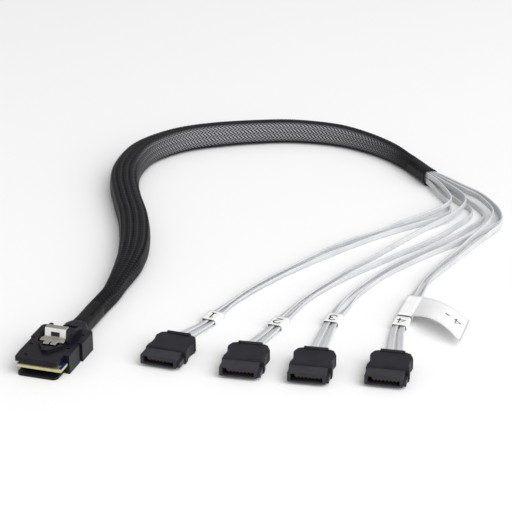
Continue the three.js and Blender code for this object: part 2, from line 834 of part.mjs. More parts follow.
// Ribbon routes from the breakout to the marker band: x, y, lift of the underside, roll.
// A lies on the left of its pair at the small plug. Rows and columns give the place in the bundle:
// row 1 is on top of row 0, and column 0 is on the inside of the turn.
const low = tableGap;
const ribbonRoutes = {
  '1a': { row: 1, column: 0, free: [
    [77.6, 68.8, 4, 90], [80.9, 60, 3.2, 90], [82.5, 52.9, 2.8, 90], [82.3, 48.4, 2.8, 90],
    [79.4, 42.6, 2.8, 90], [74.6, 38, 2.4, 90], [68.4, 34.4, 1.5, 90], [59.5, 29.6, low, 88],
    [50.8, 21, low, 84], [39.5, 12.8, low, 76], [28.3, 2.8, low, 68], [21.3, -4.9, low, 64],
    [13.1, -14.5, low, 60], [4.1, -25.2, low, 54], [-4.7, -36.9, low, 46], [-9.8, -45.2, low, 40],
  ] },
  '1b': { row: 0, column: 0, free: [
    [76.3, 69, 1.4, 90], [77.8, 63.4, 0.7, 90], [80.8, 53.8, low, 90], [81.8, 47.8, low, 90],
    [81.2, 41.4, low, 90], [76.6, 35.7, low, 90], [71.5, 31.9, low, 90], [59.1, 23.6, low, 88],
    [50.6, 17.2, low, 84], [39.2, 7.4, low, 76], [28.6, -2.9, low, 68], [21.2, -10.1, low, 64],
    [13, -18.8, low, 60], [4, -29.4, low, 54], [-4.7, -41, low, 46], [-9.6, -48.6, low, 40],
  ] },
  '2a': { row: 1, column: 1, free: [
    [79, 69, 4.2, 90], [82.9, 63.8, 3.5, 90], [86.7, 57.8, 2.9, 90], [88.5, 52.1, 2.8, 90],
    [88.4, 47.4, 2.8, 90], [87, 42.8, 2.8, 90], [84.4, 37.9, 2.6, 90], [80.4, 33, 2.1, 90],
    [76, 29.6, 1.2, 90], [70.6, 25.6, 0.3, 90], [58.1, 10.4, low, 86], [44.5, -6.9, low, 76],
    [38.1, -14.2, low, 70], [28.6, -27, low, 62], [22.5, -35.3, low, 54], [16.5, -44.1, low, 46],
    [12.4, -51.6, low, 40],
  ] },
  '2b': { row: 0, column: 1, free: [
    [78, 70, 1.5, 90], [80.4, 65.4, 0.9, 90], [83.4, 59.4, low, 90], [87.2, 51.4, low, 90],
    [89.8, 47.2, low, 90], [90.7, 43.2, low, 90], [90.2, 39.3, low, 90], [88.2, 34.7, low, 90],
    [82.9, 27.3, low, 90], [77.7, 19.9, low, 90], [66.5, 7.5, low, 88], [56.2, -2.2, low, 82],
    [44.1, -14.2, low, 76], [34.6, -24.2, low, 68], [25.4, -35.3, low, 58], [18.6, -45.4, low, 48],
    [14.4, -53.6, low, 40],
  ] },
  '3a': { row: 0, column: 2, free: [
    [79.6, 71, 1.6, 90], [82.8, 66.6, 0.9, 90], [86.6, 61.8, low, 90], [89.8, 55.4, low, 90],
    [92.7, 49, low, 90], [94.9, 42.7, low, 90], [95.1, 37.2, low, 90], [93.1, 31.9, low, 90],
    [88.6, 25.8, low, 90], [83.5, 19.1, low, 90], [75.4, 10.4, low, 90], [66.6, 1.2, low, 86],
    [57.2, -8.4, low, 80], [49.8, -17.5, low, 74], [43, -27, low, 66], [36.8, -36.7, low, 56],
    [33, -43.6, low, 48], [30.4, -49.4, low, 40],
  ] },
  '3b': { row: 0, column: 3, free: [
    [81.4, 72.2, 1.6, 90], [86, 69, 1, 90], [91, 65.4, 0.4, 90], [95.6, 60.4, low, 90],
    [99.7, 51.4, low, 90], [101.9, 42.7, low, 90], [102.2, 37.2, low, 90], [100.4, 31.1, low, 90],
    [95.9, 25.1, low, 90], [90.8, 19.1, low, 90], [84.2, 12.5, low, 90], [77.9, 6.8, low, 90],
    [70.1, -0.3, low, 88], [62.8, -7.6, low, 84], [56, -14.9, low, 80], [49.7, -22.3, low, 74],
    [43.7, -31.4, low, 66], [37.8, -41.4, low, 54], [34.4, -49.6, low, 40],
  ] },
  '4a': { row: 1, column: 2, free: [
    [81.4, 68.6, 4.2, 90], [88.4, 60.2, 3.4, 90], [93.8, 53.6, 2.9, 90], [97.3, 44.2, 2.8, 90],
    [98.5, 37.9, 2.8, 90], [98, 32.4, 2.8, 90], [95.5, 25, 2.8, 90], [91.2, 17.2, 2.6, 90],
    [86.6, 10.6, 1.7, 90], [81.8, 3.6, 0.5, 90], [76.5, -4.7, low, 84], [70.6, -14.6, low, 76],
    [64.6, -26, low, 68], [61.4, -33.8, low, 50],
  ] },
  '4b': { row: 1, column: 3, free: [
    [82.2, 70.4, 4.2, 90], [89.6, 62, 3.4, 90], [95.3, 55.2, 2.9, 90], [99.4, 45, 2.8, 90],
    [101.4, 36, 2.8, 90], [101.4, 28.8, 2.5, 90], [99.8, 23.6, 1.8, 90], [97, 20.2, 1.1, 90],
    [92.6, 14.7, 0.3, 90], [85.6, 3.9, low, 90], [79.8, -5.5, low, 84], [73.4, -15.8, low, 76],
    [66.9, -26.6, low, 68], [63.8, -34.6, low, 50],
  ] },
};

function ribbonStation(x, y, lift, roll) {
  const angle = THREE.MathUtils.degToRad(roll);
  const rise = ribbonWidth / 2 * Math.sin(angle) + ribbonThickness / 2 * Math.cos(angle);
  return { point: vector(x, y, lift + rise), roll, width: ribbonWidth, height: ribbonThickness };
}

// The ribbons' places in the bundle: rows one above the other, columns side by side
function trunkStations(row, column) {
  const rings = ringsAlong(bundleStations, 1);
  return rings.map((ring, i) => {
    const { wide } = sectionAxes(ring);
    const sideways = (column - 1.5) * bundleStations[i].spread;
    const height = (row - 0.5) * (ribbonWidth + ribbonStackGap);
    const point = ring.point.clone().addScaledVector(wide, sideways);
    point.z += height;
    return { point, roll: 90, width: ribbonWidth, height: ribbonThickness };
  });
}

// A pair's two stations at a marker band: one at each end of the band, side by side
function bandStations(index, side) {
  const [x, y, heading] = bandPlaces[index];
  const angle = THREE.MathUtils.degToRad(heading);
  const ahead = new THREE.Vector2(Math.cos(angle), Math.sin(angle));
  const left = new THREE.Vector2(-ahead.y, ahead.x);
  const labelStretch = index === labelPair ? labelGap + labelWrapLength : 0;
  const reach = bandLength / 2 + bandStraight;
  return [-reach - labelStretch, reach].map((along) => ribbonStation(
    x + ahead.x * along - side * left.x * bandPairSpacing / 2,
    y + ahead.y * along - side * left.y * bandPairSpacing / 2,
    low + bandWall + bandClearance,
    bandRoll,
  ));
}

// The last stations of a ribbon run straight into its pocket at the back of the grip
function pocketStations(index, side) {
  const across = gripOffset - side * pocketSpacing / 2;
  const lead = [gripBack + pocketLead, pocketHeight - pocketDrop];
  return [lead, [gripBack - pocketDepth + fitGap, pocketHeight]].map(
    ([back, z]) => ({
      point: new THREE.Vector3(across, back, z).applyMatrix4(smallPlugs[index].matrixWorld),
      roll: 0,
      width: ribbonWidth,
      height: ribbonThickness,
    }));
}

// A is on the left of its pair as seen from the front of the plug, and travel runs towards the front
for (const [name, { row, column, free }] of Object.entries(ribbonRoutes)) {
  const index = Number(name[0]) - 1;
  const side = name[1] === 'a' ? 1 : -1;
  const trunk = trunkStations(row, column);
  const loose = [
    trunk[trunk.length - 1],
    ...free.map((station) => ribbonStation(...station)),
    ...bandStations(index, side),
    ...pocketStations(index, side),
  ];
  const rings = [...ringsAlong(trunk, 1), ...ringsAlong(loose, 2).slice(1)];
  addPiece(`ribbon_${name}`, sweep(ribbonSection(), rings), ribbonWhite);
}

// Marker bands: flat tubes round both ribbons of a pair
const bandRollAngle = THREE.MathUtils.degToRad(bandRoll);
const pairWidth = bandPairSpacing
  + ribbonWidth * Math.cos(bandRollAngle) + ribbonThickness * Math.sin(bandRollAngle);
const pairHeight = ribbonWidth * Math.sin(bandRollAngle) + ribbonThickness * Math.cos(bandRollAngle);
const bandWidth = pairWidth + 2 * (bandWall + bandClearance);
const bandHeight = pairHeight + 2 * (bandWall + bandClearance);

function bandTube(length, from) {
  const section = outline(roundedRectangle(bandWidth, bandHeight, bandCorner));
  const holeCorner = bandCorner - bandWall / 2;
  const hole = roundedRectangle(bandWidth - 2 * bandWall, bandHeight - 2 * bandWall, holeCorner);
  section.holes.push(new THREE.Path(outline(hole).getPoints().reverse()));
  const tube = new THREE.ExtrudeGeometry(section, { depth: length, bevelEnabled: false });
  tube.translate(0, bandHeight / 2, from);
  return tube;
}

// Turns a tube that runs along Z into one that runs along the heading on the table
function layAlong(geometry, index) {
  const [x, y, heading] = bandPlaces[index];
  geometry.rotateX(Math.PI / 2);
  geometry.rotateZ(THREE.MathUtils.degToRad(heading + 90));
  const place = vector(x, y, low);
  geometry.translate(place.x, place.y, place.z);
  return geometry;
}

bandPlaces.forEach((place, index) => {
  addPiece(`marker_band_${index + 1}`, layAlong(bandTube(bandLength, -bandLength / 2), index), bandWhite);
});

// Paper label: wrapped round the fourth pair behind its band, its two free halves stuck together as a flag
function flagLabel() {
  const [x, y, heading] = bandPlaces[labelPair];
  const angle = THREE.MathUtils.degToRad(heading);
  const ahead = new THREE.Vector3(Math.cos(angle), Math.sin(angle), 0);
  const left = new THREE.Vector3(-ahead.y, ahead.x, 0);
  const front = -bandLength / 2 - labelGap;
  const wrap = layAlong(bandTube(labelWrapLength, front - labelWrapLength), labelPair);
  const root = vector(x, y, low + bandHeight - bandCorner)
    .addScaledVector(ahead, front - labelWrapLength / 2)
    .addScaledVector(left, bandWidth / 2 - bandWall);
  const [farBack, farFront] = labelEnds.map(([ex, ey]) => vector(ex, ey, labelEndHeight));
  const end = farBack.clone().lerp(farFront, 0.5);
  const endAlong = farBack.clone().sub(farFront);
  const rootAlong = ahead.clone().multiplyScalar(-labelWrapLength);
  const up = new THREE.Vector3(0, 0, 1);
  const rings = labelRises.map((rise, i) => {
    const share = i / (labelRises.length - 1);
    const along = rootAlong.clone().lerp(endAlong, share);
    const point = root.clone().lerp(end, share);
    point.z += rise;
    return {
      point,
      axes: { wide: along.clone().normalize(), thick: up },
      width: along.length(),
      height: labelThickness,
      corner: labelCorner,
    };
  });
  return join(wrap, loft(rings));
}

addPiece('flag_label', flagLabel(), paperWhite);

export default cable;
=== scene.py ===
import math
import bpy
import numpy as np
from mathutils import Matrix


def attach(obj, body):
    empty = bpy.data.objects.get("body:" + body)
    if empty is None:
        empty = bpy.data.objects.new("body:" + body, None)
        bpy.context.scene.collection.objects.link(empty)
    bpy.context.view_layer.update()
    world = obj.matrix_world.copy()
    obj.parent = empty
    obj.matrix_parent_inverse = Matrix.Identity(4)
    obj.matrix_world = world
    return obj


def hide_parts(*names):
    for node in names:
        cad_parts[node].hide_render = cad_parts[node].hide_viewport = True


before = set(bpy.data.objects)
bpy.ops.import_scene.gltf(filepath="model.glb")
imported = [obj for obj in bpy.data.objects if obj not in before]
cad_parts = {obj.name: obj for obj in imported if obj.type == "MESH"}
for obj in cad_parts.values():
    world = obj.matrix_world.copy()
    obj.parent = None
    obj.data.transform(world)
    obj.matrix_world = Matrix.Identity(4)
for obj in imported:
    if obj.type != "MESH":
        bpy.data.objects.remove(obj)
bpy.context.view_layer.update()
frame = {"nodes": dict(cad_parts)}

# Camera: it stands in front of the row of plugs and looks down on the loop at 24 degrees.
# It is far off with a long lens, so the far side of the loop is hardly smaller than the near side.
camera = bpy.data.objects.new("camera", bpy.data.cameras.new("camera"))
bpy.context.collection.objects.link(camera)
camera.location = (0.01427, -0.54947, 0.28472)
camera.rotation_euler = (math.radians(66), 0, 0)
camera.data.lens = 123.6
camera.data.sensor_width = 36
bpy.context.scene.camera = camera

# Braided sleeve: a stocking of 56 flat plastic strands, half wound to the left and half to the right.
# Each strand passes over two others and under two. Its ends are drawn tight under the heat-shrink. In the far
# half of the loop the weave stands open and the pale ribbons show through; this show-through is painted light,
# stronger on the side where the light falls, and the floats and crests carry painted highlights.
PLUGS_MIDDLE = (-14.27, -90.01)
LARGE_PLUG = (-74.9, -103.6, 17.5)
CABLE_ACROSS = 1.6


def on_table(x, y, z):
    """A place in the layout, in mm, as a point of the part, whose origin lies under the middle of the plugs."""
    return np.array([x - PLUGS_MIDDLE[0], y - PLUGS_MIDDLE[1], z]) / 1000


def behind_plug(across, back, z, plug=LARGE_PLUG):
    """A point given from the middle of a plug's front edge: across it, and back towards the cable."""
    x, y, yaw = plug
    turn = math.radians(yaw)
    return on_table(x + across * math.cos(turn) + back * math.sin(turn),
                    y - across * math.sin(turn) + back * math.cos(turn), z)


def smooth_line(stops, steps):
    """A smooth line through the stops, each a point and the numbers that change along with it."""
    points = np.array([stop[0] for stop in stops])
    numbers = np.array([stop[1:] for stop in stops], float)
    chain = np.vstack([2 * points[0] - points[1], points, 2 * points[-1] - points[-2]])
    gaps = np.linalg.norm(np.diff(chain, axis=0), axis=1) ** 0.5
    line, ways, mixed = [], [], []
    for i in range(len(points) - 1):
        a, b, c, d = chain[i:i + 4]
        before, here, after = gaps[i:i + 3]
        leave = here * ((b - a) / before - (c - a) / (before + here)) + (c - b)
        arrive = here * ((d - c) / after - (d - b) / (here + after)) + (c - b)
        bend = 3 * (c - b) - 2 * leave - arrive
        twist = 2 * (b - c) + leave + arrive
        last = i == len(points) - 2
        for t in np.linspace(0, 1, steps + 1)[:None if last else -1]:
            line.append(b + leave * t + bend * t ** 2 + twist * t ** 3)
            ways.append(leave + 2 * bend * t + 3 * twist * t ** 2)
            mixed.append(numbers[i] * (1 - t) + numbers[i + 1] * t)
    ways = np.array(ways)
    return np.array(line), ways / np.linalg.norm(ways, axis=1)[:, None], np.array(mixed)


def section_axes(ways, roll):
    """The two axes of the section at each point of a line: level to the left, and up, turned by the roll."""
    left = np.column_stack([-ways[:, 1], ways[:, 0], np.zeros(len(ways))])
    left /= np.linalg.norm(left, axis=1)[:, None]
    up = np.cross(ways, left)
    turn = np.radians(roll)[:, None]
    return left * np.cos(turn) + up * np.sin(turn), up * np.cos(turn) - left * np.sin(turn)


def rounded_outline(width, height, corner, shares):
    """Points of a rounded rectangle at the given shares of its way round, and the outward directions there."""
    arc = np.linspace(0, math.pi / 2, 9)
    centres = [(1, 1), (-1, 1), (-1, -1), (1, -1)]
    points = np.vstack([[[width / 2, 0]]] + [np.column_stack([
        sx * (width / 2 - corner) + corner * np.cos(arc + k * math.pi / 2),
        sy * (height / 2 - corner) + corner * np.sin(arc + k * math.pi / 2)])
        for k, (sx, sy) in enumerate(centres)] + [[[width / 2, 0]]])
    way = np.concatenate([[0], np.cumsum(np.linalg.norm(np.diff(points, axis=0), axis=1))])
    at = (shares % 1) * way[-1]
    spot = np.column_stack([np.interp(at, way, points[:, k]) for k in (0, 1)])
    reach = 0.006 * way[-1]
    ahead, behind = [np.column_stack([np.interp((at + s * reach) % way[-1], way, points[:, k])
                                      for k in (0, 1)]) for s in (1, -1)]
    along = ahead - behind
    outward = np.column_stack([along[:, 1], -along[:, 0]])
    return spot, outward / np.linalg.norm(outward, axis=1)[:, None]


def make_piece(name, points, faces, material, body="cable"):
    """A mesh piece with smooth faces that goes with a body of the CAD."""
    mesh = bpy.data.meshes.new(name)
    mesh.from_pydata(np.asarray(points, float).tolist(), [], [tuple(face) for face in faces])
    mesh.polygons.foreach_set("use_smooth", [True] * len(mesh.polygons))
    mesh.materials.append(material)
    piece = bpy.data.objects.new(name, mesh)
    bpy.context.collection.objects.link(piece)
    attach(piece, body)
    return piece


def skin_faces(loops, sides, start=0, closed=False):
    """Faces between loops of points that follow one another; closed joins the last loop to the first."""
    faces = []
    for i in range(loops if closed else loops - 1):
        for k in range(sides):
            here, there = start + i * sides, start + (i + 1) % loops * sides
            faces.append((here + k, here + (k + 1) % sides, there + (k + 1) % sides, there + k))
    return faces


def plastic(name, dark, light, roughness, patch, relief_size, relief_depth, gloss=0.5, edge=0):
    """A material that drifts between two shades in patches, with a fine relief and rounded edges; in metres."""
    material = bpy.data.materials.new(name)
    material.use_nodes = True
    nodes, links = material.node_tree.nodes, material.node_tree.links
    shader = nodes["Principled BSDF"]
    place = nodes.new("ShaderNodeTexCoord")
    drift = nodes.new("ShaderNodeTexNoise")
    drift.inputs["Scale"].default_value = 1 / patch
    drift.inputs["Detail"].default_value = 4
    shades = nodes.new("ShaderNodeValToRGB")
    shades.color_ramp.elements[0].position = 0.35
    shades.color_ramp.elements[1].position = 0.68
    shades.color_ramp.elements[0].color = (*dark, 1)
    shades.color_ramp.elements[1].color = (*light, 1)
    grain = nodes.new("ShaderNodeTexNoise")
    grain.inputs["Scale"].default_value = 1 / relief_size
    relief = nodes.new("ShaderNodeBump")
    relief.inputs["Distance"].default_value = relief_depth
    relief.inputs["Strength"].default_value = 0.6
    links.new(place.outputs["Object"], drift.inputs["Vector"])
    links.new(place.outputs["Object"], grain.inputs["Vector"])
    links.new(drift.outputs["Fac"], shades.inputs["Fac"])
    links.new(shades.outputs["Color"], shader.inputs["Base Color"])
    links.new(grain.outputs["Fac"], relief.inputs["Height"])
    links.new(relief.outputs["Normal"], shader.inputs["Normal"])
    if edge:
        rounding = nodes.new("ShaderNodeBevel")
        rounding.samples = 6
        rounding.inputs["Radius"].default_value = edge
        links.new(rounding.outputs["Normal"], relief.inputs["Normal"])
    shader.inputs["Roughness"].default_value = roughness
    shader.inputs["Specular IOR Level"].default_value = gloss
    return material


def add_shade(material, share, shade):
    """Mixes another shade into a material where a share between 0 and 1, another node's output, says so."""
    nodes, links = material.node_tree.nodes, material.node_tree.links
    base = nodes["Principled BSDF"].inputs["Base Color"]
    below = base.links[0].from_socket
    blend = nodes.new("ShaderNodeMix")
    blend.data_type = "RGBA"
    blend.inputs["B"].default_value = (*shade, 1)
    links.new(share, blend.inputs["Factor"])
    links.new(below, blend.inputs["A"])
    links.new(blend.outputs["Result"], base)


# Each stop: x, y, width, height, distance between the ribbons inside, depth of the grooves between them, and
# how open the weave stands. Where the heat-shrink holds the sleeve it is drawn tight.
TIGHT = (5.4, 6.3, 1.15, 1.1, 0, 0)
TIGHT_Z = 3.85
SLEEVE_ROUND = 0.38
sleeve_plan = [
    (-54.4, -43.6, 6.5, 7.1, 1.2, 0.1, 0), (-52.2, -33.4, 7.7, 7.7, 1.5, 0.2, 0),
    (-49.5, -19.4, 10.6, 8.5, 2.2, 0.26, 0), (-48.4, -5.7, 12, 8.8, 2.7, 0.3, 0),
    (-48.8, 10.5, 12.5, 8.8, 2.8, 0.32, 0), (-50.5, 27.2, 12.5, 8.8, 2.8, 0.32, 0.02),
    (-54.2, 47.3, 12.1, 9, 2.7, 0.3, 0.05), (-56.7, 65.5, 12.5, 9.2, 2.7, 0.28, 0.1),
    (-56.4, 81.8, 12.6, 9.6, 2.5, 0.22, 0.15), (-51.4, 100.6, 12.3, 10, 2.3, 0.14, 0.4),
    (-44.5, 110.5, 11.7, 10.3, 2.2, 0.07, 0.6), (-32.8, 120.2, 11.2, 10.5, 2.1, 0, 0.85),
    (-19.1, 125.7, 10.8, 10.6, 2, 0, 1), (-0.9, 130, 10.4, 10.3, 2, 0, 1),
    (17.4, 131.5, 10.3, 10, 2, 0, 1), (37.4, 127, 9.8, 9.4, 1.9, 0, 1),
    (50, 119.1, 8.8, 8.5, 1.6, 0, 0.75), (60.9, 107.4, 7.6, 7.7, 1.4, 0, 0.35),
    (66.9, 97.2, 6.5, 7, 1.2, 0, 0.08),
]
sleeve_start, boot_neck = behind_plug(CABLE_ACROSS, 38.1, TIGHT_Z), on_table(-58.9, -57.9, TIGHT_Z)
breakout_neck, sleeve_end = on_table(70.6, 88.9, TIGHT_Z), on_table(75.6, 76.9, TIGHT_Z)
sleeve_stops = [(sleeve_start, *TIGHT), (boot_neck, *TIGHT), (on_table(-56.5, -50.6, TIGHT_Z), *TIGHT)]
sleeve_stops += [(on_table(x, y, height / 2 + 0.15), width, height, SLEEVE_ROUND * min(width, height), *rest)
                 for x, y, width, height, *rest in sleeve_plan]
sleeve_stops += [(breakout_neck, *TIGHT), (sleeve_end, *TIGHT)]

# the strands that lean one way, the length of one turn of a strand, and how deep the skin's layers lie
STRANDS = 28
TURN_OF_STRAND = 62
STRAND_RISE, STRAND_DEPTH, LINING_DEPTH = 0.13, 0.16, 0.42
fine_line, fine_ways, fine_sizes = smooth_line(sleeve_stops, 24)
fine_wide, fine_up = section_axes(fine_ways, np.zeros(len(fine_line)))
run = np.concatenate([[0], np.cumsum(np.linalg.norm(np.diff(fine_line, axis=0), axis=1))]) * 1000
girth = 2 * (fine_sizes[:, 0] + fine_sizes[:, 1]) - (8 - 2 * math.pi) * fine_sizes[:, 2]
# a strand keeps its length, so the wider the sleeve, the flatter the strand winds round it
one_turn = np.sqrt(TURN_OF_STRAND ** 2 - girth ** 2)
crossings = np.concatenate([[0], np.cumsum(np.diff(run) * 4 * STRANDS / (one_turn[1:] + one_turn[:-1]))])
levels = np.arange(int(crossings[-1]) + 1)


def at_level(values):
    """Values along the sleeve at each row of crossings."""
    return np.column_stack([np.interp(levels, crossings, column) for column in np.atleast_2d(values.T)])


level_line, level_sizes = at_level(fine_line), at_level(fine_sizes)
level_wide, level_up = at_level(fine_wide), at_level(fine_up)
level_girth = at_level(girth)[:, 0]


def sleeve_skin(row, shares, lift):
    """Points on the sleeve at one row, lifted off it in mm, the outward directions there, and two painted shades:
    how much of the pale ribbons shows through the open weave, painted stronger on the side where the light falls,
    and a painted highlight on the crests between two grooves."""
    width, height, corner, spread, groove, open_weave = level_sizes[row]
    spot, outward = rounded_outline(width, height, corner, shares)
    sway = 0.5 * math.sin(row * 0.021) + 0.3 * math.sin(row * 0.057)
    crest = 0.5 + 0.5 * np.cos(4 * math.pi * spot[:, 0] / spread + sway)
    on_top = np.clip(spot[:, 1] / height * 6, 0, 1)
    # painted light: this marks the side of the section that faces the light, and the show-through is painted
    # stronger there
    lit_side = np.clip((outward @ np.array([-0.91, 0.41]) - 0.48) / 0.36, 0, 1)
    pale = open_weave * (0.1 + 0.9 * lit_side)
    spot = spot + outward * (lift - groove * on_top * (1 - crest))[:, None]
    frame_of_row = np.vstack([level_wide[row], level_up[row]])
    # the last value is a painted highlight on the crests of the top, between the grooves
    return level_line[row] + spot @ frame_of_row / 1000, outward @ frame_of_row, pale, crest * on_top * groove


def strand_bands(lean):
    """All strands that lean one way, three points wide and one row for each crossing, and their painted sheen."""
    strand = np.arange(STRANDS)
    spots, outward, pale = [], [], []
    for row in levels:
        over = np.where((2 * strand + lean * row) % 4 < 2, 1, -1) * lean
        lift = STRAND_RISE * over - STRAND_DEPTH
        spot, out, lit_show_through, crest = sleeve_skin(row, (strand + lean * row / 2) / STRANDS, lift)
        spots.append(spot)
        outward.append(out)
        # painted highlight: floats are lighter than unders, one lean lighter than the other, crests lighter still;
        # unders get painted shade
        float_sheen = lit_show_through * (0.85 + 0.15 * lean) + crest * (0.25 + 0.15 * lean)
        pale.append(np.where(over > 0, float_sheen, lit_show_through * 0.05))
    spots, outward, pale = np.array(spots), np.array(outward), np.array(pale)
    side = np.cross(np.gradient(spots, axis=0), outward)
    side /= np.linalg.norm(side, axis=2)[:, :, None]
    slant = np.arctan(level_girth / TURN_OF_STRAND)
    # half of a strand's room is what its half width may fill; it fills less of it where the weave stands open
    cover = 0.49 - 0.19 * level_sizes[:, 5]
    half = (level_girth / STRANDS * np.cos(slant) * cover / 1000)[:, None, None]
    drop = outward * 0.00007
    # painted shade at each strand's edges, with its painted sheen along the middle
    return (np.stack([spots - side * half - drop, spots + drop, spots + side * half - drop], axis=2),
            np.stack([pale * 0.02, pale, pale * 0.02], axis=2))


braid_points, braid_faces, braid_sheen = [], [], []
for lean in (1, -1):
    bands, band_sheen = strand_bands(lean)
    start = sum(len(block) for block in braid_points)
    braid_points.append(bands.reshape(-1, 3))
    braid_sheen.append(band_sheen.ravel())
    index = start + np.arange(bands.shape[0] * STRANDS * 3).reshape(bands.shape[0], STRANDS, 3)
    for k in (0, 1):
        a, b, c, d = index[:-1, :, k], index[:-1, :, k + 1], index[1:, :, k + 1], index[1:, :, k]
        braid_faces.append(np.stack([a, b, c, d], axis=2).reshape(-1, 4))
# behind the strands lies a thin dark skin, painted shade for the dim inside of the sleeve, which closes the view
# into it
LINING_SIDES = 48
lining_rows = [sleeve_skin(row, np.arange(LINING_SIDES) / LINING_SIDES, -LINING_DEPTH) for row in levels[::4]]
lining_start = sum(len(block) for block in braid_points)
braid_points.append(np.array([row[0] for row in lining_rows]).reshape(-1, 3))
# on the lit side the lining takes a little of the painted show-through
braid_sheen.append(np.array([row[2] for row in lining_rows]).ravel() * 0.12)
braid_faces.append(np.array(skin_faces(len(lining_rows), LINING_SIDES, lining_start)))

braid_black = plastic("braid_black", (0.002, 0.002, 0.003), (0.0045, 0.0045, 0.006), 0.42, 0.004, 0.0003, 0.00003,
                      gloss=0.11)
sleeve = make_piece("sleeve", np.vstack(braid_points), np.vstack(braid_faces), braid_black)
sleeve.data.attributes.new("show_through_and_sheen", "FLOAT", "POINT").data.foreach_set("value", np.concatenate(braid_sheen))
# the attribute holds the painted show-through, highlights and shade, and mixes a pale grey into the black there
show_through_and_sheen = braid_black.node_tree.nodes.new("ShaderNodeAttribute")
show_through_and_sheen.attribute_name = "show_through_and_sheen"
add_shade(braid_black, show_through_and_sheen.outputs["Fac"], (0.5, 0.5, 0.53))
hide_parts("braided_sleeve")

# Ribbons: eight flat cables of two wires side by side in a silvery white jacket. They stand on edge in the
# sleeve in two rows of four, and two go to each small plug. They leave the breakout on edge and lie over
# more and more towards the marker bands.
RIBBON_WIDE, RIBBON_THICK = 2.4, 0.85


def ribbon_stop(x, y, lift, roll):
    """A stop of a ribbon whose lowest point lies at the given height, with its roll: 90 is on edge."""
    turn = math.radians(roll)
    return on_table(x, y, lift + RIBBON_WIDE / 2 * math.sin(turn) + RIBBON_THICK / 2 * math.cos(turn)), roll


SMALL_PLUGS = [(-34, -96.8, 18.94), (-6.2, -105.1, 11.7), (17.1, -109.3, 10.78), (43.3, -111.4, 12.19)]
BANDS = [(-16, -59.2, 246), (8.1, -63.8, 246), (28.2, -61, 252), (52.9, -63.7, 252)]
BAND_SPACING, BAND_ROLL = 2.75, 20
LOW = 0.15
